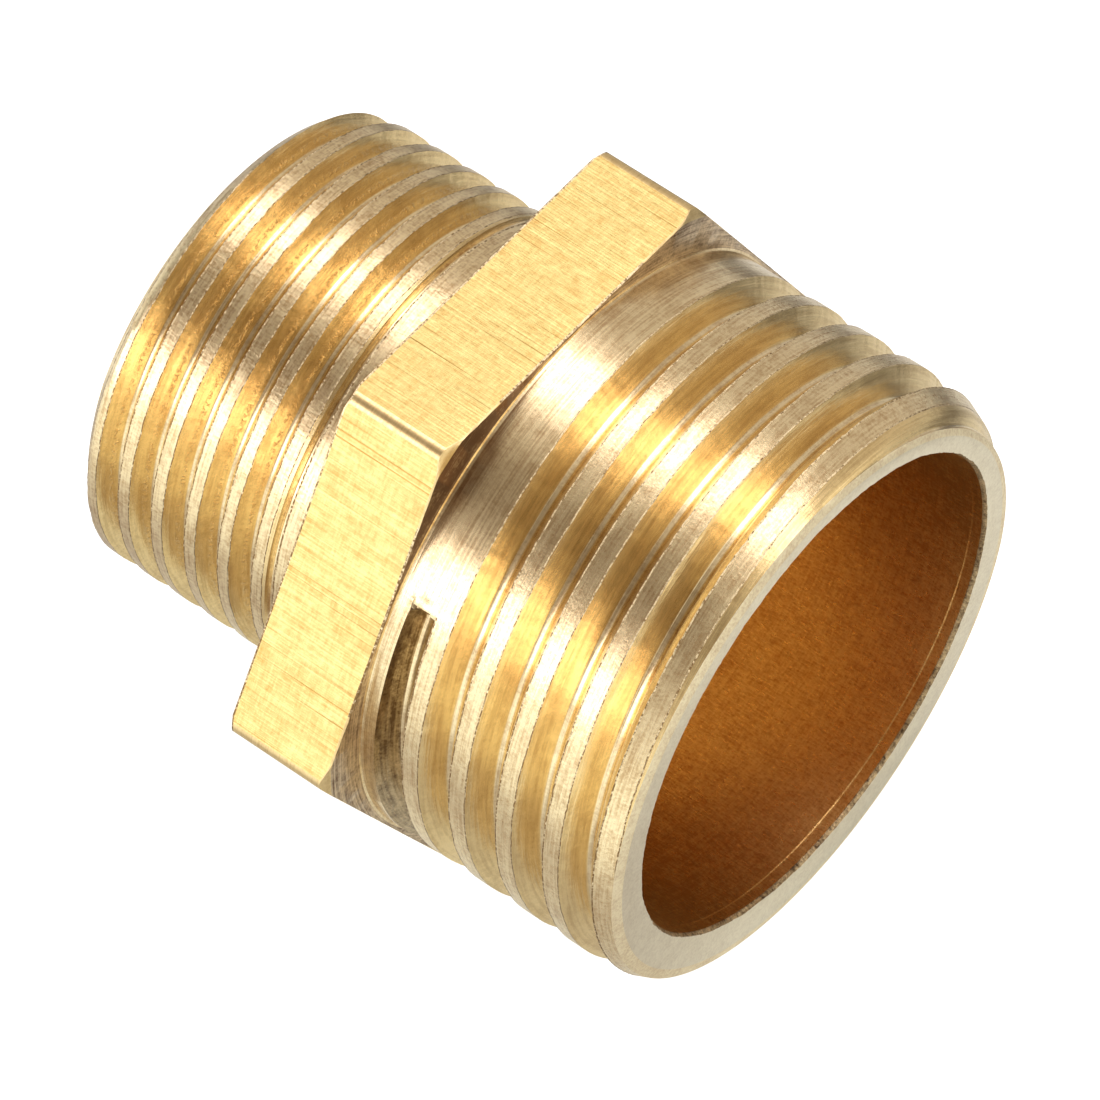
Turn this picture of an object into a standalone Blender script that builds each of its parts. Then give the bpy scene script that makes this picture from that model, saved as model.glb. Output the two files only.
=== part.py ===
"""A reducing hex nipple: one piece of brass hexagon bar, turned, bored and threaded.

The thread axis is world X, with the large thread towards +X. The fitting lies on one hexagon flat,
so +Z is up. The origin is on the axis, half way along the length. Turned shapes are drawn along
their own Z axis and then laid over onto X.
"""

import math

import bmesh
import bpy

MM = 0.001

# Driving dimensions
LENGTH = 22.8 * MM
ACROSS_FLATS = 21.0 * MM
HEX_WIDTH = 3.75 * MM
HEX_CORNER_RADIUS = 0.35 * MM  # left by the drawing die
SMALL_SIDE = 9.5 * MM  # from the small end to the hexagon

LARGE_DIAMETER = 20.6 * MM  # G 1/2, crests slightly low
LARGE_PITCH = 25.4 / 14 * MM
LARGE_THREAD_DEPTH = 0.84 * MM
LARGE_BORE = 17.0 * MM
LARGE_BORE_DEPTH = 11.0 * MM

SMALL_DIAMETER = 16.2 * MM  # G 3/8, crests slightly low
SMALL_PITCH = 25.4 / 19 * MM
SMALL_THREAD_DEPTH = 0.68 * MM
SMALL_BORE = 12.4 * MM

DRILL_POINT_ANGLE = math.radians(118)
THREAD_FLANK_ANGLE = math.radians(27.5)  # Whitworth form
ROOT_RADIUS_PER_PITCH = 0.1373

# Stations along the axis, worked out from the lengths above
LARGE_END = LENGTH / 2
SMALL_END = -LENGTH / 2
HEX_BACK = SMALL_END + SMALL_SIDE
HEX_FRONT = HEX_BACK + HEX_WIDTH

# Edge breaks
SHOULDER_FILLET = 0.15 * MM
FRONT_CHAMFER_START = 11.75 * MM  # radius where the turned corner chamfer begins
BACK_CHAMFER_START = 11.9 * MM
CORNER_CHAMFER_ANGLE = math.radians(30)
LEAD_IN_LENGTH = 1.05 * MM
LEAD_IN_DROP = 0.45 * MM
END_RING_WIDTH = 0.39 * MM
END_RING_HEIGHT = 0.1 * MM
SMALL_END_CHAMFER = 0.42 * MM
BORE_EDGE_BREAK = 0.1 * MM

# Threads: where each groove starts, and where its cutter leaves a straight wall behind
LARGE_THREAD_START = HEX_FRONT + 0.54 * MM
LARGE_GROOVE_AT_TOP = 3.66 * MM  # first full groove, hexagon side edge, straight above the axis
LARGE_TAIL_ANGLE = math.radians(144)  # the groove ends here, measured from +Y towards +Z
SMALL_THREAD_START = HEX_BACK - 1.85 * MM
SMALL_GROOVE_AT_TOP = -5.59 * MM  # last full groove, small-end side edge, straight above the axis
SMALL_TAIL_TURNS = 1.1  # how far the groove runs on towards the hexagon

STEPS_PER_TURN = 44
TURNED_STEPS = 60
ROOT_STEPS = 2
CUTTER_REACH = 0.25 * MM  # how far a groove cutter stands out of the crest
PAST_END = 0.6 * MM  # how far a cutter runs past the part
SMOOTH_ANGLE = math.radians(35)

BRASS_COLOUR = (0.86, 0.66, 0.33, 1.0)
BRASS_ROUGHNESS = 0.28


def clear_scene():
    for obj in list(bpy.data.objects):
        bpy.data.objects.remove(obj, do_unlink=True)


def new_collection(name):
    collection = bpy.data.collections.new(name)
    bpy.context.scene.collection.children.link(collection)
    return collection


def add_object(name, mesh, collection):
    """An object whose own Z axis lies along world X."""
    obj = bpy.data.objects.new(name, mesh)
    obj.rotation_euler = (0, math.pi / 2, 0)
    collection.objects.link(obj)
    return obj


def hide_cutter(obj):
    obj.hide_render = True
    obj.display_type = "WIRE"
    return obj


def brass():
    material = bpy.data.materials.new("brass")
    material.use_nodes = True
    shader = material.node_tree.nodes["Principled BSDF"]
    shader.inputs["Base Color"].default_value = BRASS_COLOUR
    shader.inputs["Metallic"].default_value = 1.0
    shader.inputs["Roughness"].default_value = BRASS_ROUGHNESS
    return material


def hex_bar(collection):
    """Drawn hexagon bar, a little longer than the collar it becomes, with rounded corners."""
    bm = bmesh.new()
    corner = ACROSS_FLATS / math.sqrt(3)
    bmesh.ops.create_cone(
        bm, cap_ends=True, segments=6, radius1=corner, radius2=corner, depth=LENGTH + 2 * PAST_END
    )
    mesh = bpy.data.meshes.new("hex_nipple_body")
    bm.to_mesh(mesh)
    bm.free()
    bar = add_object("hex_nipple_body", mesh, collection)
    rounding = bar.modifiers.new("drawn_corners", "BEVEL")
    rounding.limit_method = "ANGLE"
    rounding.width = HEX_CORNER_RADIUS * math.tan(math.radians(30))
    rounding.segments = 3
    return bar


def outer_profile():
    """(radius, station) down the outside, from the large end to the small end."""
    large = LARGE_DIAMETER / 2
    small = SMALL_DIAMETER / 2
    past_corner = ACROSS_FLATS / math.sqrt(3) + 0.2 * MM
    front_slope = (past_corner - FRONT_CHAMFER_START) * math.tan(CORNER_CHAMFER_ANGLE)
    back_slope = (past_corner - BACK_CHAMFER_START) * math.tan(CORNER_CHAMFER_ANGLE)
    taper_end = large - LEAD_IN_DROP
    return [
        (taper_end - END_RING_WIDTH, LARGE_END),
        (taper_end, LARGE_END - END_RING_HEIGHT),
        (large, LARGE_END - END_RING_HEIGHT - LEAD_IN_LENGTH),
        (large, HEX_FRONT + SHOULDER_FILLET),
        (large + SHOULDER_FILLET, HEX_FRONT),
        (FRONT_CHAMFER_START, HEX_FRONT),
        (past_corner, HEX_FRONT - front_slope),
        (past_corner, HEX_BACK + back_slope),
        (BACK_CHAMFER_START, HEX_BACK),
        (small + SHOULDER_FILLET, HEX_BACK),
        (small, HEX_BACK - SHOULDER_FILLET),
        (small, SMALL_END + SMALL_END_CHAMFER),
        (small - SMALL_END_CHAMFER, SMALL_END),
    ]


def bore_profile():
    """(radius, station) up the inside, from the small end to the large end."""
    large = LARGE_BORE / 2
    small = SMALL_BORE / 2
    step = LARGE_END - LARGE_BORE_DEPTH
    point = (large - small) / math.tan(DRILL_POINT_ANGLE / 2)
    return [
        (small + BORE_EDGE_BREAK, SMALL_END),
        (small, SMALL_END + BORE_EDGE_BREAK),
        (small, step - point),
        (large, step),
        (large, LARGE_END - BORE_EDGE_BREAK),
        (large + BORE_EDGE_BREAK, LARGE_END),
    ]


def turned_envelope(collection):
    """Everything the lathe leaves standing: a ring of this section, cut out of the bar."""
    points = [(radius, 0, station) for radius, station in outer_profile() + bore_profile()]
    edges = [(i, (i + 1) % len(points)) for i in range(len(points))]
    mesh = bpy.data.meshes.new("turned_envelope")
    mesh.from_pydata(points, edges, [])
    envelope = add_object("turned_envelope", mesh, collection)
    turning = envelope.modifiers.new("turning", "SCREW")
    turning.steps = TURNED_STEPS
    turning.render_steps = TURNED_STEPS
    turning.use_merge_vertices = True
    turning.merge_threshold = 0.000001
    return hide_cutter(envelope)


def groove_section(crest, pitch, depth):
    """The cutting tool's section as (radius, offset along the axis), crest edge to crest edge."""
    slope = math.tan(THREAD_FLANK_ANGLE)
    root_radius = ROOT_RADIUS_PER_PITCH * pitch
    centre = crest - depth + root_radius
    root_edge = centre - root_radius * math.sin(THREAD_FLANK_ANGLE)
    half_root = root_radius * math.cos(THREAD_FLANK_ANGLE)
    half_width = half_root + (crest - root_edge) * slope
    half_reach = half_width + CUTTER_REACH * slope
    swing = math.pi / 2 - THREAD_FLANK_ANGLE
    angles = [swing * (2 * i / ROOT_STEPS - 1) for i in range(ROOT_STEPS + 1)]
    root = [
        (centre - root_radius * math.cos(a), half_width + root_radius * math.sin(a)) for a in angles
    ]
    return [
        (crest + CUTTER_REACH, half_width - half_reach),
        *root,
        (crest + CUTTER_REACH, half_width + half_reach),
    ]


def groove_cutter(name, section, pitch, start_angle, start_station, turns, collection):
    """The section carried round and along the axis, right-handed, as a threading tool moves."""
    bm = bmesh.new()
    turn = start_angle + math.pi / 2  # the object's own X axis points down in the world
    verts = [
        bm.verts.new((r * math.cos(turn), r * math.sin(turn), start_station + along))
        for r, along in section
    ]
    face = bm.faces.new(verts)
    steps = round(turns * STEPS_PER_TURN)
    bmesh.ops.spin(
        bm,
        geom=verts + list(face.edges) + [face],
        axis=(0, 0, 1),
        dvec=(0, 0, pitch / STEPS_PER_TURN),
        angle=steps * math.tau / STEPS_PER_TURN,
        steps=steps,
    )
    bmesh.ops.recalc_face_normals(bm, faces=bm.faces)
    mesh = bpy.data.meshes.new(name)
    bm.to_mesh(mesh)
    bm.free()
    return hide_cutter(add_object(name, mesh, collection))


def thread_zone(name, low, high, collection):
    """A plain cylinder that keeps a groove cutter off the neck and the hexagon."""
    bm = bmesh.new()
    radius = ACROSS_FLATS / 2 + 1 * MM
    bmesh.ops.create_cone(
        bm, cap_ends=True, segments=STEPS_PER_TURN, radius1=radius, radius2=radius, depth=high - low
    )
    mesh = bpy.data.meshes.new(name)
    bm.to_mesh(mesh)
    bm.free()
    zone = add_object(name, mesh, collection)
    zone.location.x = (low + high) / 2
    return hide_cutter(zone)


def combine(obj, name, operation, other):
    boolean = obj.modifiers.new(name, "BOOLEAN")
    boolean.operation = operation
    boolean.solver = "EXACT"
    boolean.object = other


def large_groove(collection):
    crest = LARGE_DIAMETER / 2
    section = groove_section(crest, LARGE_PITCH, LARGE_THREAD_DEPTH)
    back_turns = 1 - (LARGE_TAIL_ANGLE - math.pi / 2) / math.tau
    start = LARGE_GROOVE_AT_TOP - back_turns * LARGE_PITCH
    turns = (LARGE_END + PAST_END - start) / LARGE_PITCH
    cutter = groove_cutter(
        "large_groove", section, LARGE_PITCH, LARGE_TAIL_ANGLE, start, turns, collection
    )
    zone = thread_zone("large_zone", LARGE_THREAD_START, LARGE_END + 2 * MM, collection)
    combine(cutter, "stay_off_neck", "INTERSECT", zone)
    return cutter


def small_groove(collection):
    crest = SMALL_DIAMETER / 2
    section = groove_section(crest, SMALL_PITCH, SMALL_THREAD_DEPTH)
    turns_out = math.ceil((SMALL_GROOVE_AT_TOP - SMALL_END + PAST_END) / SMALL_PITCH) + 1
    start = SMALL_GROOVE_AT_TOP - turns_out * SMALL_PITCH
    turns = turns_out + SMALL_TAIL_TURNS
    cutter = groove_cutter(
        "small_groove", section, SMALL_PITCH, math.pi / 2, start, turns, collection
    )
    zone = thread_zone("small_zone", SMALL_END - 2 * MM, SMALL_THREAD_START, collection)
    combine(cutter, "stay_off_neck", "INTERSECT", zone)
    return cutter


def main():
    clear_scene()
    parts = new_collection("hex_nipple")
    cutters = new_collection("cutters")
    body = hex_bar(parts)
    combine(body, "turn", "INTERSECT", turned_envelope(cutters))
    combine(body, "cut_large_thread", "DIFFERENCE", large_groove(cutters))
    combine(body, "cut_small_thread", "DIFFERENCE", small_groove(cutters))
    body.data.materials.append(brass())
    bpy.context.view_layer.objects.active = body
    body.select_set(True)
    bpy.ops.object.shade_smooth()
    body.data.set_sharp_from_angle(angle=SMOOTH_ANGLE)


main()
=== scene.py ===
"""Looks for the reducing hex nipple: fine threads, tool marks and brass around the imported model.

The body is one closed surface. Columns run round the thread axis (world X) and rows run along it, so
each row is a circle, a hexagon or a helix. Lengths in the shape code are millimetres.
"""

import math

import bmesh
import bpy
import numpy as np
from mathutils import Matrix, Vector


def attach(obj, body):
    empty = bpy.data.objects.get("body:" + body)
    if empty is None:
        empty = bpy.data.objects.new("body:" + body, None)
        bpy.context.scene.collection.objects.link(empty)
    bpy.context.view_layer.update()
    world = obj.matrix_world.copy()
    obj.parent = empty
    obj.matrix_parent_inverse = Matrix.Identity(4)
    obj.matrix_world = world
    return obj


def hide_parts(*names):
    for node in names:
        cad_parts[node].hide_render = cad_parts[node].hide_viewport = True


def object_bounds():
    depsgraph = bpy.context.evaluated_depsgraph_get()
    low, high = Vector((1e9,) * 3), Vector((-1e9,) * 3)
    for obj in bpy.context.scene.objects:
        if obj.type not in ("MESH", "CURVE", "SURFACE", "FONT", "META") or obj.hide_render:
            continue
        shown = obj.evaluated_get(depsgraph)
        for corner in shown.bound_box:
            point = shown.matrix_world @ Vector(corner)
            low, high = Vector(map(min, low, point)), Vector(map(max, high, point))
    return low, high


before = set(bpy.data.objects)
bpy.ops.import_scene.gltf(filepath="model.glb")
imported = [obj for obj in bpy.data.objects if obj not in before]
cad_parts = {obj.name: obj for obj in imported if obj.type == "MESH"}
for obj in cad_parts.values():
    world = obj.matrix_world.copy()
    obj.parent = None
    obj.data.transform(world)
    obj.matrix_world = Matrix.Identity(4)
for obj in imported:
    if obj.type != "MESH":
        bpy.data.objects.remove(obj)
CAD_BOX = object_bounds()

MM = 0.001
DEG = math.pi / 180
TURN = 2 * math.pi

# The turned shape, close to the CAD model's
LARGE_END = 11.4
SMALL_END = -11.4
HEX_BACK = -1.9
HEX_FRONT = 1.85
HALF_FLATS = 10.5
HALF_SIDE = 30 * DEG  # half of the angle that one side of the hexagon spans
CORNER_RADIUS = 0.45
FRONT_CHAMFER_START = 11.75
BACK_CHAMFER_START = 11.9
CHAMFER_SLOPE = math.tan(30 * DEG)
BACK_BEVEL = 0.02
FRONT_BEVEL = 0.01
FRONT_EDGE_BURR = (0.025, 0.012, 0.02)  # along the flat, in from it, and in on the face
FLAT_ROWS = (0.015, 0.25, 0.5, 0.75, 0.985)
FILLET = 0.1
NARROW = 0.02  # a narrow row, which keeps the shading of two surfaces apart

LARGE = {
    "name": "large",
    "crest": 10.3,
    "pitch": 25.4 / 14,
    "depth": 0.84,
    "opening": 1.17,
    "root": 0.24,
    "crest_rows": (0.07, 0.35, 0.65, 0.93),
    "edge": 3.66,  # the first full groove's hexagon-side edge, straight above the axis
    "low": 2.39,
    "high": 11.3,
}
SMALL = {
    "name": "small",
    "crest": 8.1,
    "pitch": 25.4 / 19,
    "depth": 0.68,
    "opening": 0.88,
    "root": 0.2,
    "crest_rows": (0.09, 0.5, 0.91),
    "edge": -5.59,
    "low": -11.38,
    "high": -3.3,
}
ROOT_ROUNDING = 0.12
EDGE_WOBBLE = 0.012

# The shallow scratch by the hexagon, where the small thread's tool backs out
SHALLOW = (0.235, 0.115, 0.15)  # offset of its centre, half width and depth
SHALLOW_OFFSETS = (0.0, 0.12, 0.15, 0.18, 0.21, 0.235, 0.26, 0.29, 0.32, 0.35, 0.40, 0.46, 0.8, 1.2)
SHALLOW_START = 385 * DEG
SHALLOW_END = 560 * DEG
SHALLOW_BLEND = 15 * DEG
SHALLOW_FADE = 30 * DEG

# The large groove's abrupt start beside the neck
LARGE_TAIL = 144 * DEG
LARGE_NOSE = (0.72, 0.45)  # middle and half width of what is left of the groove where it starts
NOSE_CURVE = 2 * DEG
NOSE_RAMP = 0.6 * DEG
LIP = (0.06, (143.4, 2.75), (1.8, 0.5))  # height, place and size, in degrees and millimetres
TAIL_ZONE = (143.9, 250)  # degrees
TAIL_TOP = 3.0  # station where the tail's colour ends, at LARGE_TAIL
ZONE_SLACK = 0.1  # takes in the rows just beside the thread's first one

# The ends
END_TAPER_SLOPE = 0.4286
END_RING_OUTER = 9.85
END_FACE_OUTER = 9.46
SMALL_END_RING = 7.68
END_TURNING_CENTRE = (-0.09, -0.206)
BORE_CENTRE = (-0.011, 0.147)
BORE_RIM = 8.54
BORE_BURR = 0.018
# Depth below the end face, radius past the rim, and the zone after
BORE_MOUTH = ((0, 0.05, "burr"), (0.12, -0.02, "burr"), (0.15, -0.022, "bore"))
# Station and radius, from the large mouth through the drilled step to the small mouth
BORE_ROWS = (
    (10.93, 8.513),
    (10.9, 8.511),
    (10.88, 8.505),
    (10.85, 8.503),
    (8.5, 8.49),
    (6.0, 8.48),
    (3.0, 8.48),
    (0.43, 8.48),
    (0.4, 8.47),
    (-0.95, 6.22),
    (-0.98, 6.2),
    (-6, 6.2),
    (-11.3, 6.2),
)
SMALL_MOUTH = 6.3

WELD = 2e-7  # metres
SHARP_ANGLE = 40 * DEG

# Columns round the axis, in degrees
COLUMN_STEP = 0.86
COLUMN_GAP = 0.25
CORNER_SPREAD = 1.08
CHAMFER_SPREAD = 12
CORNER_COLUMNS = (-1.5, -1.08, -0.81, -0.54, -0.27, 0, 0.27, 0.54, 0.81, 1.08, 1.5)
TAIL_COLUMNS = (142.6, 143.2, 143.6, 143.9, 144.2, 144.5, 144.8, 145.1, 145.4, 145.7, 146.1, 146.6)

ZONES = (
    "drawn_flat",
    "corner",
    "turned",
    "shoulder",
    "edge",
    "tail",
    "large_crest",
    "large_flank",
    "large_root",
    "small_crest",
    "small_flank",
    "small_root",
    "rim",
    "burr",
    "end_face",
    "bore",
)


# ---------------------------------------------------------------- shape helpers


def column_angles():
    """Angles of the columns, closer together at the corners and at the large thread's start."""
    extra = [60 * k + c for k in range(7) for c in CORNER_COLUMNS] + list(TAIL_COLUMNS)
    extra = np.array([a for a in extra if 0 <= a <= 360])
    plain = np.arange(0, 360, COLUMN_STEP)
    clear = np.abs(plain[:, None] - extra[None, :]).min(1) > COLUMN_GAP
    return np.unique(np.concatenate([plain[clear], extra, [0, 360]])) * DEG


def off_centre_circle(phi, radius, centre):
    """Distance from the axis to a circle whose centre = (y, z) is off it."""
    along = centre[0] * np.cos(phi) + centre[1] * np.sin(phi)
    across = centre[0] ** 2 + centre[1] ** 2 - along**2
    return along + np.sqrt(radius**2 - across)


def hexagon(phi):
    """Distance from the axis to the hexagon's side, with its rounded corners."""
    from_corner = (phi + HALF_SIDE) % (2 * HALF_SIDE) - HALF_SIDE
    flat = HALF_FLATS / np.cos(HALF_SIDE - np.abs(from_corner))
    centre = (HALF_FLATS - CORNER_RADIUS) / math.cos(HALF_SIDE)
    inside = np.maximum(CORNER_RADIUS**2 - (centre * np.sin(from_corner)) ** 2, 0)
    rounded = centre * np.cos(from_corner) + np.sqrt(inside)
    tangent = math.atan((HALF_FLATS - CORNER_RADIUS) * math.tan(HALF_SIDE) / HALF_FLATS)
    return np.where(np.abs(from_corner) < HALF_SIDE - tangent, rounded, flat)


def smooth_min(first, second, width):
    """The smaller of the two, rounded over where they are within width of each other."""
    share = np.clip(0.5 + 0.5 * (second - first) / width, 0, 1)
    return first * share + second * (1 - share) - width * share * (1 - share)


def groove_depth(thread, across):
    """How far below the crest the groove is, at a distance across from its hexagon-side edge."""
    flank = (thread["opening"] - thread["root"]) / 2
    to_edge = np.minimum(across, thread["opening"] - across)
    slope = smooth_min(to_edge / flank, 1.0, ROOT_ROUNDING) * thread["depth"]
    return np.where(to_edge > 0, np.maximum(slope, 0), 0)


def shallow_groove(across):
    """The scratch that the small thread's tool leaves as it backs out."""
    centre, half_width, depth = SHALLOW
    return depth * np.maximum(1 - np.abs(across - centre) / half_width, 0)


def groove_rows(thread):
    """Offsets of one pitch's rows from the groove's edge, and the zone after each.

    The flank on the hexagon's side has its own zone, and the other flank takes the root's.
    """
    name = thread["name"]
    opening = thread["opening"]
    flank = (opening - thread["root"]) / 2
    inner = [0, 0.5 * flank, 0.88 * flank, flank, 1.12 * flank, opening / 2]
    offsets = inner + [opening - offset for offset in inner[-2::-1]]
    zones = [name + "_flank"] * 3 + [name + "_root"] * (len(offsets) - 4) + ["edge"]
    crest = thread["pitch"] - opening
    for share in thread["crest_rows"]:
        offsets.append(opening + share * crest)
        zones.append(name + "_crest")
    zones[-1] = "edge"
    return offsets, zones


class Rows:
    """The body's rows, each with a station and a radius at every column."""

    def __init__(self, phi):
        self.phi = phi
        self.random = np.random.default_rng(7)
        self.seam = np.clip(np.minimum(phi, TURN - phi) / (3 * DEG), 0, 1)
        gaps = np.diff(phi)
        gaps = np.minimum(np.append(gaps, gaps[0]), np.append(gaps[-1], gaps))
        self.calm = np.clip(gaps / (COLUMN_STEP * DEG), 0, 1) ** 2
        self.stations = []
        self.radii = []
        self.zones = []

    def ragged(self, size):
        """Unevenness along a row: fine and slow parts together, and nothing at the seam."""
        fine = self.random.normal(size=len(self.phi)) * self.calm
        knots = self.random.normal(size=90)
        slow = np.interp(self.phi, np.linspace(0, TURN, len(knots)), knots)
        return size * self.seam * np.clip(0.6 * fine + 0.8 * slow, -2, 2)

    def add(self, station, radius, zone):
        """zone is the surface between this row and the next."""
        ones = np.ones_like(self.phi)
        self.stations.append(station * ones)
        self.radii.append(radius * ones)
        self.zones.append(zone)


def small_envelope(station):
    """The small thread's crest and the 45 degree chamfer on its end."""
    return np.minimum(SMALL["crest"], SMALL_END_RING + (station - SMALL_END))


def bump_at(phi, station, place, size):
    """1 at place = (degrees, station), falling to 0 at size = (degrees, millimetres) away."""
    off = ((phi / DEG - place[0]) / size[0]) ** 2 + ((station - place[1]) / size[1]) ** 2
    return np.maximum(1 - off, 0)


def large_envelope(phi, station):
    """The large thread's crest, its end taper and the lip where the groove starts."""
    ring = off_centre_circle(phi, END_RING_OUTER, END_TURNING_CENTRE)
    turned = np.minimum(LARGE["crest"], ring + (LARGE["high"] - station) * END_TAPER_SLOPE)
    height, place, size = LIP
    return turned + height * bump_at(phi, station, place, size)


def turns_past_top(phi):
    return (phi - 90 * DEG) / TURN


def along_thread(thread, phi, station):
    """Angle along the helix and distance across it from the groove's edge.

    The angle is 0 to 360 degrees on the turn whose edge is given in the thread's table.
    """
    pitch = thread["pitch"]
    travel = station - thread["edge"] - pitch * turns_past_top(phi)
    turn = np.floor(travel / pitch)
    return phi + TURN * turn, travel - turn * pitch


def thread_depth(thread, phi, station):
    """Depth of the groove at a station."""
    return thread["cut"](*along_thread(thread, phi, station))


def large_cut(angle, across):
    """The large groove, which starts abruptly at a round nose."""
    off_middle = (across - LARGE_NOSE[0]) / LARGE_NOSE[1]
    start = LARGE_TAIL - TURN + NOSE_CURVE * off_middle**2
    return groove_depth(LARGE, across) * np.clip((angle - start) / NOSE_RAMP, 0, 1)


def shallow_share(angle):
    """0 where the small thread is full, 1 where only the shallow scratch is left."""
    return np.clip((angle - SHALLOW_START) / SHALLOW_BLEND, 0, 1)


def small_cut(angle, across):
    """The small groove, which goes over to the shallow scratch and fades out."""
    share = shallow_share(angle)
    fade = np.clip((SHALLOW_END - angle) / SHALLOW_FADE, 0, 1)
    return groove_depth(SMALL, across) * (1 - share) + shallow_groove(across) * share * fade


LARGE["cut"] = large_cut
SMALL["cut"] = small_cut


def row_offset(thread, index, offset, angle):
    """Rows close in on the shallow scratch where the full groove ends."""
    if thread is LARGE:
        return offset
    return offset + shallow_share(angle) * (SHALLOW_OFFSETS[index] - offset)


def add_thread(rows, thread, envelope):
    """Rows that follow the helix, held between the thread's two limits.

    The rows on both sides of an edge share one wobble.
    """
    offsets, zones = groove_rows(thread)
    pitch = thread["pitch"]
    low, high = thread["low"], thread["high"]
    turns = turns_past_top(rows.phi)
    first = math.floor((low - thread["edge"]) / pitch - 1)
    last = math.ceil((high - thread["edge"]) / pitch + 1)
    wobble = 0
    for turn in range(first, last + 1):
        for index, (offset, zone) in enumerate(zip(offsets, zones)):
            offset = row_offset(thread, index, offset, rows.phi + TURN * turn)
            station = np.clip(thread["edge"] + pitch * (turn + turns) + offset, low, high)
            if (station == low).all() or (station == high).all():
                continue
            depth = thread_depth(thread, rows.phi, station)
            turned = envelope(station)
            radius = np.where(depth > 0, np.minimum(turned, thread["crest"] - depth), turned)
            if zone == "edge":
                wobble = rows.ragged(EDGE_WOBBLE)
            if "edge" in (zone, zones[index - 1]):
                inside = (station > low) & (station < high)
                station = np.clip(station + inside * wobble, low, high)
                radius = radius - inside * abs(wobble) / 2
            rows.add(station, radius, zone)


def add_hexagon(rows):
    """From the small thread's neck over the collar to the large thread's neck."""
    across = hexagon(rows.phi)
    back = np.minimum(across, BACK_CHAMFER_START)
    front = np.minimum(across, FRONT_CHAMFER_START)
    back_edge = HEX_BACK + BACK_BEVEL + (across - back) * CHAMFER_SLOPE
    front_edge = HEX_FRONT - FRONT_BEVEL - (across - front) * CHAMFER_SLOPE
    back_crest = SMALL["crest"]
    front_crest = LARGE["crest"]
    along_burr, flat_burr, face_burr = FRONT_EDGE_BURR
    rows.add(HEX_BACK - FILLET - NARROW, back_crest, "turned")
    rows.add(HEX_BACK - FILLET, back_crest, "turned")
    rows.add(HEX_BACK - FILLET / 4, back_crest + FILLET / 4, "turned")
    rows.add(HEX_BACK, back_crest + FILLET, "shoulder")
    rows.add(HEX_BACK, back_crest + FILLET + NARROW, "shoulder")
    rows.add(HEX_BACK, back - BACK_BEVEL, "turned")
    rows.add(back_edge, across, "edge")
    for share in FLAT_ROWS:
        station = back_edge + share * (front_edge - back_edge)
        rows.add(station, across, "edge" if share == FLAT_ROWS[-1] else "drawn_flat")
    rows.add(front_edge - abs(rows.ragged(along_burr)), across - abs(rows.ragged(flat_burr)), "edge")
    rows.add(HEX_FRONT, front - FRONT_BEVEL - abs(rows.ragged(face_burr)), "shoulder")
    rows.add(HEX_FRONT, front_crest + FILLET + NARROW, "shoulder")
    rows.add(HEX_FRONT, front_crest + FILLET, "turned")
    rows.add(HEX_FRONT + FILLET / 4, front_crest + FILLET / 4, "turned")
    rows.add(HEX_FRONT + FILLET, front_crest, "turned")
    rows.add(HEX_FRONT + FILLET + NARROW, front_crest, "turned")
    rows.add(LARGE["low"] - 0.03, front_crest, "tail")


def add_large_end(rows):
    """The end taper's last row, the end ring and the bore's ragged mouth."""
    phi = rows.phi
    high = LARGE["high"] * np.ones_like(phi)
    depth = thread_depth(LARGE, phi, high)
    radius = np.minimum(large_envelope(phi, high), LARGE["crest"] - depth)
    rows.add(high, radius, "rim")
    outer = np.minimum(off_centre_circle(phi, END_FACE_OUTER, END_TURNING_CENTRE), radius - 0.01)
    rows.add(LARGE_END, outer, "end_face")
    rim = off_centre_circle(phi, BORE_RIM, BORE_CENTRE)
    for depth, past, zone in BORE_MOUTH:
        burr = rows.ragged(BORE_BURR) if depth == 0 else 0
        rows.add(LARGE_END - depth, rim + past + burr, zone)


def add_bore(rows):
    """The bore from end to end, and the small end's ring."""
    phi = rows.phi
    for station, radius in BORE_ROWS:
        rows.add(station, off_centre_circle(phi, radius, BORE_CENTRE), "bore")
    rows.add(SMALL_END, off_centre_circle(phi, SMALL_MOUTH, BORE_CENTRE), "end_face")
    groove = SMALL["crest"] - thread_depth(SMALL, phi, SMALL["low"] * np.ones_like(phi))
    rows.add(SMALL_END, np.minimum(SMALL_END_RING, groove), "turned")


def body_rows():
    """Every row, from the small end along the outside and back through the bore."""
    phi = column_angles()
    rows = Rows(phi)
    add_thread(rows, SMALL, small_envelope)
    add_hexagon(rows)
    add_thread(rows, LARGE, lambda station: large_envelope(phi, station))
    add_large_end(rows)
    add_bore(rows)
    return rows


def body_mesh():
    """The rows joined into one closed surface."""
    rows = body_rows()
    station = np.array(rows.stations)
    radius = np.array(rows.radii)
    count, columns = station.shape
    y = radius * np.cos(rows.phi)
    z = radius * np.sin(rows.phi)
    points = np.stack([station, y, z], axis=2).reshape(-1, 3) * MM
    down, over = np.meshgrid(np.arange(count), np.arange(columns - 1), indexing="ij")
    below = (down + 1) % count
    faces = np.stack(
        [
            down * columns + over,
            below * columns + over,
            below * columns + over + 1,
            down * columns + over + 1,
        ],
        axis=2,
    ).reshape(-1, 4)
    mesh = bpy.data.meshes.new("hex_nipple")
    mesh.from_pydata(points.tolist(), [], faces.tolist())
    mesh.polygons.foreach_set("material_index", face_zones(rows).ravel())
    weld(mesh)
    return mesh


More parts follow.
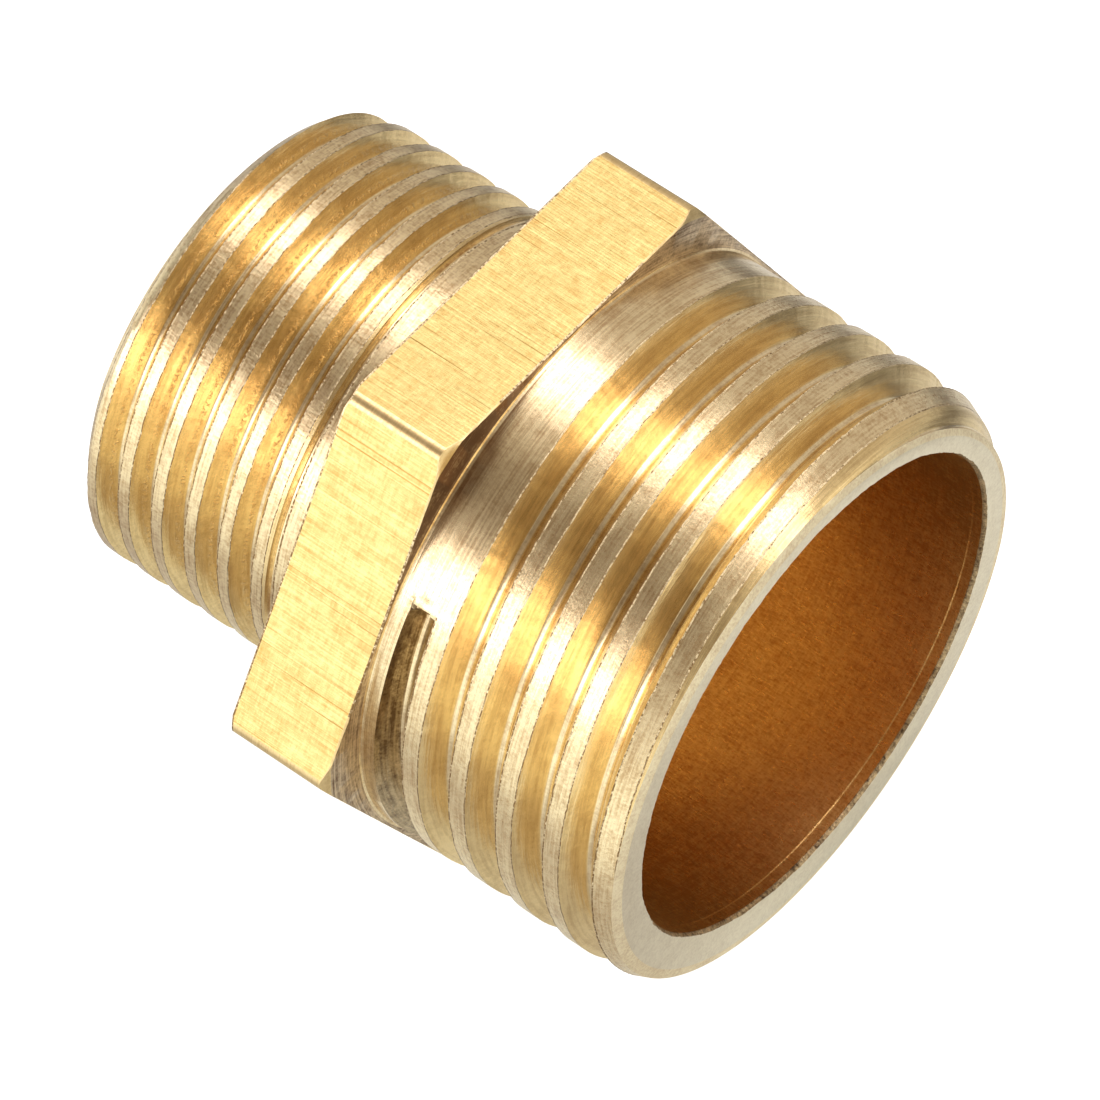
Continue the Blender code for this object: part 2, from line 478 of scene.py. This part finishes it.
def face_zones(rows):
    """The zone of each face, by row and column."""
    zone = np.array([ZONES.index(name) for name in rows.zones])[:, None]
    middle = (rows.phi[1:] + rows.phi[:-1]) / 2 / DEG
    station = np.array(rows.stations)[:, 1:]
    off_corner = abs((middle + 30) % 60 - 30)
    chamfer = (station > 1) & (station < HEX_FRONT) & (off_corner < CHAMFER_SPREAD)
    tail_top = TAIL_TOP + LARGE["pitch"] * (middle - LARGE_TAIL / DEG) / 360
    in_tail = (middle > TAIL_ZONE[0]) & (middle < TAIL_ZONE[1]) & (station < tail_top)
    for name, where, new_name in (
        ("drawn_flat", off_corner < CORNER_SPREAD, "corner"),
        ("edge", chamfer, "corner"),
        ("large_flank", in_tail, "tail"),
    ):
        zone = np.where((zone == ZONES.index(name)) & where, ZONES.index(new_name), zone)
    angle, _ = along_thread(LARGE, middle * DEG, station + ZONE_SLACK)
    before_start = (station > LARGE["low"] - ZONE_SLACK) & (angle < LARGE_TAIL - TURN)
    return np.where(before_start, ZONES.index("turned"), zone)


def weld(mesh):
    """Joins the seam and the rows that meet, and turns every face outwards."""
    bm = bmesh.new()
    bm.from_mesh(mesh)
    bmesh.ops.remove_doubles(bm, verts=bm.verts, dist=WELD)
    bmesh.ops.triangulate(bm, faces=[f for f in bm.faces if len(f.verts) > 4])
    bmesh.ops.recalc_face_normals(bm, faces=bm.faces)
    bm.to_mesh(mesh)
    bm.free()


# ---------------------------------------------------------------- materials


def node(tree, kind, inputs=None, **settings):
    """A new shader node. inputs maps a socket's name or number to a value or to another socket."""
    made = tree.nodes.new(kind)
    for name, value in settings.items():
        setattr(made, name, value)
    for key, value in (inputs or {}).items():
        if isinstance(value, bpy.types.NodeSocket):
            tree.links.new(value, made.inputs[key])
        else:
            made.inputs[key].default_value = value
    return made


def math_node(tree, operation, *values):
    return node(tree, "ShaderNodeMath", dict(enumerate(values)), operation=operation).outputs[0]


def spread(tree, value, low, high, out_low=0.0, out_high=1.0):
    """value mapped from low..high to out_low..out_high, and held there."""
    inputs = {0: value, 1: low, 2: high, 3: out_low, 4: out_high}
    return node(tree, "ShaderNodeMapRange", inputs).outputs[0]


def object_place(tree):
    return node(tree, "ShaderNodeTexCoord").outputs["Object"]


def helix_place(tree, pitch):
    """Object coordinates with the station shifted so that it stays the same along the thread."""
    split = node(tree, "ShaderNodeSeparateXYZ", {0: object_place(tree)})
    angle = math_node(tree, "ARCTAN2", split.outputs["Y"], split.outputs["Z"])
    shift = math_node(tree, "MULTIPLY", angle, pitch * MM / TURN)
    station = math_node(tree, "ADD", split.outputs["X"], shift)
    inputs = {"X": station, "Y": split.outputs["Y"], "Z": split.outputs["Z"]}
    return node(tree, "ShaderNodeCombineXYZ", inputs).outputs[0]


def face_place(tree):
    """Coordinates for turned end faces: the radius takes the station's place."""
    split = node(tree, "ShaderNodeSeparateXYZ", {0: object_place(tree)})
    flat = node(tree, "ShaderNodeCombineXYZ", {"Y": split.outputs["Y"], "Z": split.outputs["Z"]})
    radius = node(tree, "ShaderNodeVectorMath", {0: flat.outputs[0]}, operation="LENGTH")
    inputs = {
        "X": radius.outputs["Value"],
        "Y": split.outputs["Y"],
        "Z": split.outputs["Z"],
    }
    return node(tree, "ShaderNodeCombineXYZ", inputs).outputs[0]


def grain(tree, place, size, detail=2.0, roughness=0.5, distortion=0.0):
    """Noise from 0 to 1 whose features are about size = (x, y, z) millimetres long."""
    scale = tuple(1 / (s * MM) for s in size)
    scaled = node(tree, "ShaderNodeVectorMath", {0: place, 1: scale}, operation="MULTIPLY")
    inputs = {
        "Vector": scaled.outputs[0],
        "Scale": 1.0,
        "Detail": detail,
        "Roughness": roughness,
        "Distortion": distortion,
    }
    return node(tree, "ShaderNodeTexNoise", inputs).outputs[0]


def blend(tree, share, first, second):
    """first where share is 0 and second where it is 1. Either is a colour or a socket."""
    inputs = {"Fac": share, "Color1": first, "Color2": second}
    return node(tree, "ShaderNodeMixRGB", inputs).outputs[0]


def weighted(tree, layers):
    """The sum of (value, weight) pairs."""
    total = None
    for value, weight in layers:
        part = math_node(tree, "MULTIPLY", value, weight)
        total = part if total is None else math_node(tree, "ADD", total, part)
    return total


# Each metal's bright and dull colours
BRASS = ((0.97, 0.80, 0.49, 1), (0.62, 0.43, 0.22, 1))
GOLD = ((0.92, 0.71, 0.36, 1), (0.72, 0.52, 0.24, 1))
FLAT = ((0.96, 0.84, 0.37, 1), (0.72, 0.43, 0.12, 1))
FACE = ((0.90, 0.81, 0.60, 1), (0.72, 0.62, 0.44, 1))
RIM = ((1.0, 0.88, 0.60, 1), (0.74, 0.58, 0.36, 1))
BURR = ((0.60, 0.45, 0.25, 1), (0.06, 0.035, 0.02, 1))
BORE = ((1.0, 0.72, 0.30, 1), (0.68, 0.38, 0.12, 1))
SHOULDER = ((0.74, 0.58, 0.38, 1), (0.17, 0.09, 0.045, 1))
TAIL = ((0.62, 0.48, 0.28, 1), (0.16, 0.10, 0.045, 1))
TORN = ((0.97, 0.80, 0.50, 1), (0.25, 0.15, 0.06, 1))

# Painted shade at fixed angles round the axis: the shoulder and the tail darker towards 118 degrees,
# the bore darker away from 302 degrees. Each is (middle, radius, clear, full, strength), as the
# painted-shade function below reads them
SHOULDER_PAINTED_SHADE = (118, 11.3, 0.72, 0.93, 0.16)
TAIL_PAINTED_SHADE = (118, 9.6, 0.2, 0.75, 0.075)
BORE_PAINTED_SHADE = (302, 8.5, 0.95, 0.4, 0.11)

TORN_FLANK = (SMALL, 0.24, 0.06)  # the thread, and the middle and half width of its torn line


def metal(name, colours, rough, bump, tone, height):
    """A metal with (bright, dull) colours and (lowest, highest) roughness, and bump in millimetres.

    tone and height are functions of the tree. tone gives 0 for bright and 1 for dull, and height gives
    the relief, which the roughness follows.
    """
    material = bpy.data.materials.new(name)
    material.use_nodes = True
    tree = material.node_tree
    shader = tree.nodes["Principled BSDF"]
    shader.inputs["Metallic"].default_value = 1
    relief = height(tree)
    bumps = node(tree, "ShaderNodeBump", {"Strength": 1.0, "Distance": bump * MM, "Height": relief})
    tree.links.new(blend(tree, tone(tree), *colours), shader.inputs["Base Color"])
    tree.links.new(spread(tree, relief, 0.3, 0.7, *rough), shader.inputs["Roughness"])
    tree.links.new(bumps.outputs[0], shader.inputs["Normal"])
    return material


def drawn_flat():
    """Drawn bar: scratches along the axis, a weaker weave across them, a few deep lines and pits."""

    def height(tree):
        place = object_place(tree)
        along = grain(tree, place, (7, 0.06, 0.06), 3, 0.6)
        across = grain(tree, place, (0.07, 1.2, 1.2), 3, 0.6)
        skin = grain(tree, place, (0.25, 0.16, 0.16), 4, 0.7)
        return weighted(tree, [(along, 0.5), (across, 0.25), (skin, 0.7), (deep(tree), -0.25)])

    def deep(tree):
        return spread(tree, grain(tree, object_place(tree), (14, 0.10, 0.10), 2), 0.63, 0.72)

    def tone(tree):
        place = object_place(tree)
        lines = grain(tree, place, (6, 0.07, 0.07), 4, 0.7)
        weave = grain(tree, place, (0.08, 0.7, 0.7), 4, 0.7)
        patches = grain(tree, place, (0.5, 0.35, 0.35), 5, 0.8)
        total = weighted(tree, [(lines, 0.5), (weave, 0.27), (patches, 0.45), (deep(tree), 0.2)])
        return spread(tree, total, 0.52, 0.77)

    return metal("drawn_flat", FLAT, (0.36, 0.5), 0.027, tone, height)


def cut_metal(
    name,
    place_of,
    colours,
    rough,
    bump,
    lines=1.0,
    torn=0.2,
    length=2.5,
    ticks=0.0,
    dashes=None,
    painted_shade=None,
):
    """Metal with tool lines that follow the cut, and a torn speckle.

    place_of gives the coordinates, with X across the tool lines. lines, torn and ticks are the weights
    of the lines, of the speckle and of ticks across the cut. length is the lines' length in
    millimetres. dashes are torn_line's values, and the last argument places painted shade at fixed
    angles round the axis.
    """

    def torn_skin(tree):
        return grain(tree, object_place(tree), (0.13, 0.10, 0.10), 4, 0.7)

    def tick_marks(tree):
        return grain(tree, object_place(tree), (0.3, 0.07, 0.07), 3, 0.6)

    def height(tree):
        place = place_of(tree)
        fine = grain(tree, place, (0.055, length, length), 3, 0.6)
        coarse = grain(tree, place, (0.2, 2 * length, 2 * length), 1)
        layers = [(fine, 0.4 * lines), (coarse, 0.25 * lines), (torn_skin(tree), torn)]
        if ticks:
            layers.append((tick_marks(tree), ticks))
        if dashes:
            layers.append((torn_line(tree, *dashes), 0.6))
        return weighted(tree, layers)

    def tone(tree):
        place = place_of(tree)
        fine = grain(tree, place, (0.07, length, length), 4, 0.6)
        patches = grain(tree, object_place(tree), (0.7, 0.5, 0.5), 5, 0.8)
        layers = [(fine, 0.5 * lines), (torn_skin(tree), 0.25 + torn / 3), (patches, 0.4)]
        if ticks:
            layers.append((math_node(tree, "SUBTRACT", tick_marks(tree), 0.5), ticks / 2))
        if dashes:
            layers.append((torn_line(tree, *dashes), 0.2))
        # painted shade: darker at fixed angles round the axis
        if painted_shade:
            layers.append(paint_shade_round(tree, *painted_shade))
        middle = 0.325 + 0.25 * lines + torn / 6  # the first three layers' average
        return spread(tree, weighted(tree, layers), middle - 0.07, middle + 0.13)

    return metal(name, colours, rough, bump, tone, height)


def torn_line(tree, thread, middle, width):
    """1 along a line that follows the thread, torn into dashes. middle is from the groove's edge."""
    split = node(tree, "ShaderNodeSeparateXYZ", {0: helix_place(tree, thread["pitch"])})
    pitch = thread["pitch"] * MM
    along = math_node(tree, "SUBTRACT", split.outputs["X"], thread["edge"] * MM)
    across = math_node(tree, "FLOORED_MODULO", along, pitch)
    off = math_node(tree, "ABSOLUTE", math_node(tree, "SUBTRACT", across, middle * MM))
    line = spread(tree, off, width * MM, 0.3 * width * MM)
    bits = spread(tree, grain(tree, object_place(tree), (0.3, 0.16, 0.16), 3, 0.7), 0.5, 0.6)
    return math_node(tree, "MULTIPLY", line, bits)


def paint_shade_round(tree, middle, radius, clear, full, strength):
    """Painted shade: a darker area that depends on the angle round the axis, as a (value, weight)
    pair.

    clear and full are cosines of the angle from middle degrees, at radius millimetres: there is no
    painted shade at clear and all of it at full.
    """
    split = node(tree, "ShaderNodeSeparateXYZ", {0: object_place(tree)})
    across = (split.outputs["Y"], math.cos(middle * DEG) / (radius * MM))
    up = (split.outputs["Z"], math.sin(middle * DEG) / (radius * MM))
    return spread(tree, weighted(tree, [across, up]), clear, full), strength


def torn_edge():
    """Burrs, with painted shade that makes them a little darker lower down."""

    def bits(tree):
        return grain(tree, object_place(tree), (0.12, 0.09, 0.09), 4, 0.7)

    def tone(tree):
        split = node(tree, "ShaderNodeSeparateXYZ", {0: object_place(tree)})
        # painted shade: the burrs' colour darkens towards the bottom of the body
        painted_shade_low = spread(tree, split.outputs["Z"], 9.5 * MM, 4 * MM, -0.02, 0.10)
        return spread(tree, math_node(tree, "ADD", bits(tree), painted_shade_low), 0.46, 0.60)

    return metal("edge", TORN, (0.3, 0.5), 0.03, tone, bits)


def brass_materials():
    """A material for each zone, in the zones' order."""

    def large(tree):
        return helix_place(tree, LARGE["pitch"])

    def small(tree):
        return helix_place(tree, SMALL["pitch"])

    plain, face = object_place, face_place
    return [
        drawn_flat(),
        cut_metal("corner", plain, GOLD, (0.3, 0.42), 0.012),
        cut_metal("turned", plain, BRASS, (0.19, 0.29), 0.010, 1.2),
        # the shoulder, tail and bore materials carry painted shade at fixed angles round the axis
        cut_metal("shoulder", face, SHOULDER, (0.3, 0.45), 0.012, painted_shade=SHOULDER_PAINTED_SHADE),
        torn_edge(),
        cut_metal("tail", large, TAIL, (0.25, 0.4), 0.03, painted_shade=TAIL_PAINTED_SHADE),
        cut_metal("large_crest", large, BRASS, (0.17, 0.28), 0.009, 1, 0.6, 1.6),
        cut_metal("large_flank", large, GOLD, (0.17, 0.27), 0.016, 1.6),
        cut_metal("large_root", large, BRASS, (0.15, 0.24), 0.006),
        cut_metal("small_crest", small, BRASS, (0.17, 0.28), 0.009, 1, 0.6, 1.6, 0.6),
        cut_metal("small_flank", small, GOLD, (0.17, 0.27), 0.014, 1.4, 0.4, dashes=TORN_FLANK),
        cut_metal("small_root", small, BRASS, (0.16, 0.26), 0.008, 1, 0.3),
        cut_metal("rim", plain, RIM, (0.4, 0.55), 0.03, 0.3, 0.8),
        cut_metal("burr", plain, BURR, (0.3, 0.5), 0.03, 0.3, 1.0),
        cut_metal("end_face", plain, FACE, (0.3, 0.4), 0.010, 0.1, 0.5),
        cut_metal("bore", plain, BORE, (0.2, 0.3), 0.012, 0.5, 0.3, 0.8, 0.8, painted_shade=BORE_PAINTED_SHADE),
    ]


# ---------------------------------------------------------------- stage


FLOOR_SIZE = 6  # metres
FLOOR_SEEN = 0.96
WHITE = (1, 1, 1, 1)
TABLE_TINT = (0.93, 1.0, 0.97, 1)
# The table's own light at distances in millimetres, on the -Y side and on the +Y side
TABLE_LEFT = (
    (10, 0.5),
    (14, 0.28),
    (18, 0.1),
    (24, 0.14),
    (29, 0.28),
    (34, 0.7),
    (42, 0.55),
    (50, 0.85),
    (60, 0.8),
)
TABLE_RIGHT = (
    (10, 0.3),
    (27, 0.42),
    (38, 0.2),
    (44, 0.0),
    (84, 0.05),
    (96, 0.6),
    (104, 0.6),
    (112, 0.05),
)
# The table's grey at distances on the +Y side, with a painted shade band, darkest from 42 to 72 mm
TABLE_GREY_AND_PAINTED_SHADE = ((0, 0.45), (32, 0.45), (42, 0.14), (72, 0.14), (90, 0.45))
LAMP_COLOUR = (1.0, 0.93, 0.97)
LAMP_RADIANCE = 2.5


def colour_ramp(tree, value, stops):
    """The colour at a value, from (value, colour) stops."""
    low, high = stops[0][0], stops[-1][0]
    ramp = node(tree, "ShaderNodeValToRGB", {0: spread(tree, value, low, high)})
    elements = ramp.color_ramp.elements
    while len(elements) < len(stops):
        elements.new(0.5)
    for element, (at, colour) in zip(elements, stops):
        element.position = (at - low) / (high - low)
        element.color = (*colour, 1)
    return ramp.outputs["Color"]


def table_ramp(tree, distance, table):
    """A grey from a table of (millimetres, grey)."""
    return colour_ramp(tree, distance, [(mm * MM, (grey,) * 3) for mm, grey in table])


def camera_ray(tree):
    return node(tree, "ShaderNodeLightPath").outputs["Is Camera Ray"]


def distance_and_side(tree):
    """Distance from the object, and how far it is to the +Y side, from -1 to 1."""
    place = object_place(tree)
    length = node(tree, "ShaderNodeVectorMath", {0: place}, operation="LENGTH")
    distance = length.outputs["Value"]
    split = node(tree, "ShaderNodeSeparateXYZ", {0: place})
    return distance, math_node(tree, "DIVIDE", split.outputs["Y"], distance)


def build_floor():
    """A pale table. The camera sees it evenly bright, and the metal reflects its dimmer bands: its own
    light and a painted shade band.
    """
    bpy.ops.mesh.primitive_plane_add(size=FLOOR_SIZE, location=(0, 0, CAD_BOX[0][2]))
    floor = bpy.context.object
    floor.name = "floor"
    material = bpy.data.materials.new("floor")
    material.use_nodes = True
    tree = material.node_tree
    distance, side = distance_and_side(tree)
    left, right = (table_ramp(tree, distance, table) for table in (TABLE_LEFT, TABLE_RIGHT))
    glow = blend(tree, spread(tree, side, -0.2, 0.4), left, right)
    seen = math_node(tree, "MULTIPLY", camera_ray(tree), FLOOR_SEEN)
    right_distance = math_node(tree, "MULTIPLY", distance, spread(tree, side, 0.35, 0.55))
    shader = tree.nodes["Principled BSDF"]
    shader.inputs["Roughness"].default_value = 0.9
    shader.inputs["Specular IOR Level"].default_value = 0.1
    for socket, value in (
        # the base colour carries the painted shade band on the +Y side
        ("Base Color", table_ramp(tree, right_distance, TABLE_GREY_AND_PAINTED_SHADE)),
        ("Emission Color", blend(tree, camera_ray(tree), TABLE_TINT, WHITE)),
        ("Emission Strength", math_node(tree, "MAXIMUM", glow, seen)),
    ):
        tree.links.new(value, shader.inputs[socket])
    floor.data.materials.append(material)


def add_softbox(name, across, lean, size):
    """A rectangular lamp a metre away.

    across is its angle in degrees in the YZ plane, from +Y up, and lean is its angle towards -X.
    """
    direction = Vector(
        (
            -math.sin(lean * DEG),
            math.cos(lean * DEG) * math.cos(across * DEG),
            math.cos(lean * DEG) * math.sin(across * DEG),
        )
    )
    lamp = bpy.data.lights.new(name, "AREA")
    lamp.shape = "RECTANGLE"
    lamp.size, lamp.size_y = size
    lamp.color = LAMP_COLOUR
    lamp.energy = LAMP_RADIANCE * math.pi * size[0] * size[1]
    obj = bpy.data.objects.new(name, lamp)
    bpy.context.scene.collection.objects.link(obj)
    side = (Vector((1, 0, 0)) - direction.x * direction).normalized()
    turn = Matrix((side, direction.cross(side), direction)).transposed()
    obj.matrix_world = Matrix.Translation(direction) @ turn.to_4x4()


# Angle in the YZ plane, from +Y up and over to -Y, and the studio's brightness there
ROOM = (
    (-12, (0.47, 0.45, 0.43)),
    (8, (0.62, 0.565, 0.52)),
    (28, (0.57, 0.505, 0.44)),
    (42, (0.56, 0.50, 0.44)),
    (58, (0.65, 0.59, 0.53)),
    (90, (0.68, 0.62, 0.56)),
    (101, (0.50, 0.44, 0.37)),
    (111, (0.27, 0.225, 0.18)),
    (128, (0.25, 0.205, 0.165)),
    (141, (0.46, 0.40, 0.34)),
    (168, (0.95, 0.93, 0.90)),
    (172, (0.72, 0.66, 0.59)),
    (176, (1.15, 1.12, 1.05)),
    (192, (1.15, 1.13, 1.08)),
)
DARK_CORNER = (0.14, 0.13, 0.12, 1)
# Each end wall: the direction's X where it is full and where it has faded out, and its colour
END_WALLS = ((-0.9, -0.65, (0.5, 0.5, 0.49, 1)), (0.85, 0.5, (1.45, 1.42, 1.36, 1)))
BACKDROP = (0.97, 0.97, 0.97, 1)


def build_world():
    """A pale backdrop where the camera sees it, and softly graded walls where the metal does."""
    world = bpy.data.worlds.new("studio")
    bpy.context.scene.world = world
    world.use_nodes = True
    tree = world.node_tree
    direction = node(tree, "ShaderNodeTexCoord").outputs["Generated"]
    split = node(tree, "ShaderNodeSeparateXYZ", {0: direction})
    angle = math_node(tree, "ARCTAN2", split.outputs["Z"], split.outputs["Y"])
    under = math_node(tree, "LESS_THAN", angle, -math.pi / 2)
    angle = math_node(tree, "ADD", angle, math_node(tree, "MULTIPLY", under, TURN))
    room = colour_ramp(tree, angle, [(degrees * DEG, colour) for degrees, colour in ROOM])
    for full, none, colour in END_WALLS:
        room = blend(tree, spread(tree, split.outputs["X"], none, full), room, colour)
    behind = spread(tree, split.outputs["X"], -0.42, -0.52)
    low_down = spread(tree, angle, 26 * DEG, 14 * DEG)
    dark = math_node(tree, "MULTIPLY", behind, low_down)
    room = blend(tree, dark, room, DARK_CORNER)
    seen = blend(tree, camera_ray(tree), room, BACKDROP)
    tree.links.new(seen, tree.nodes["Background"].inputs["Color"])


CAMERA_PLACE = (0.09935, -0.12214, 0.20895)
CAMERA_DOWN = 53.264  # degrees below the horizon
CAMERA_ROUND = 38.862  # degrees from looking along +Y
LENS = 276.1  # millimetres
SENSOR = 36  # millimetres


def build_camera():
    data = bpy.data.cameras.new("camera")
    data.lens = LENS
    data.sensor_width = SENSOR
    data.clip_start = 0.01
    camera = bpy.data.objects.new("camera", data)
    camera.location = CAMERA_PLACE
    camera.rotation_euler = ((90 - CAMERA_DOWN) * DEG, 0, CAMERA_ROUND * DEG)
    bpy.context.scene.collection.objects.link(camera)
    bpy.context.scene.camera = camera


# ---------------------------------------------------------------- scene


def build_body():
    mesh = body_mesh()
    body = bpy.data.objects.new("hex_nipple", mesh)
    bpy.context.scene.collection.objects.link(body)
    for material in brass_materials():
        mesh.materials.append(material)
    mesh.polygons.foreach_set("use_smooth", np.ones(len(mesh.polygons), bool))
    mesh.set_sharp_from_angle(angle=SHARP_ANGLE)
    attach(body, "root")
    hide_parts("hex_nipple_body")
    print("triangles", sum(len(p.vertices) - 2 for p in mesh.polygons))


def main():
    build_camera()
    build_world()
    build_floor()
    add_softbox("overhead_softbox", 74.2, 5, (1.7, 0.38))
    add_softbox("side_softbox", 158.5, 25, (1.0, 0.40))
    build_body()
    bpy.context.scene.view_settings.view_transform = "Standard"


main()
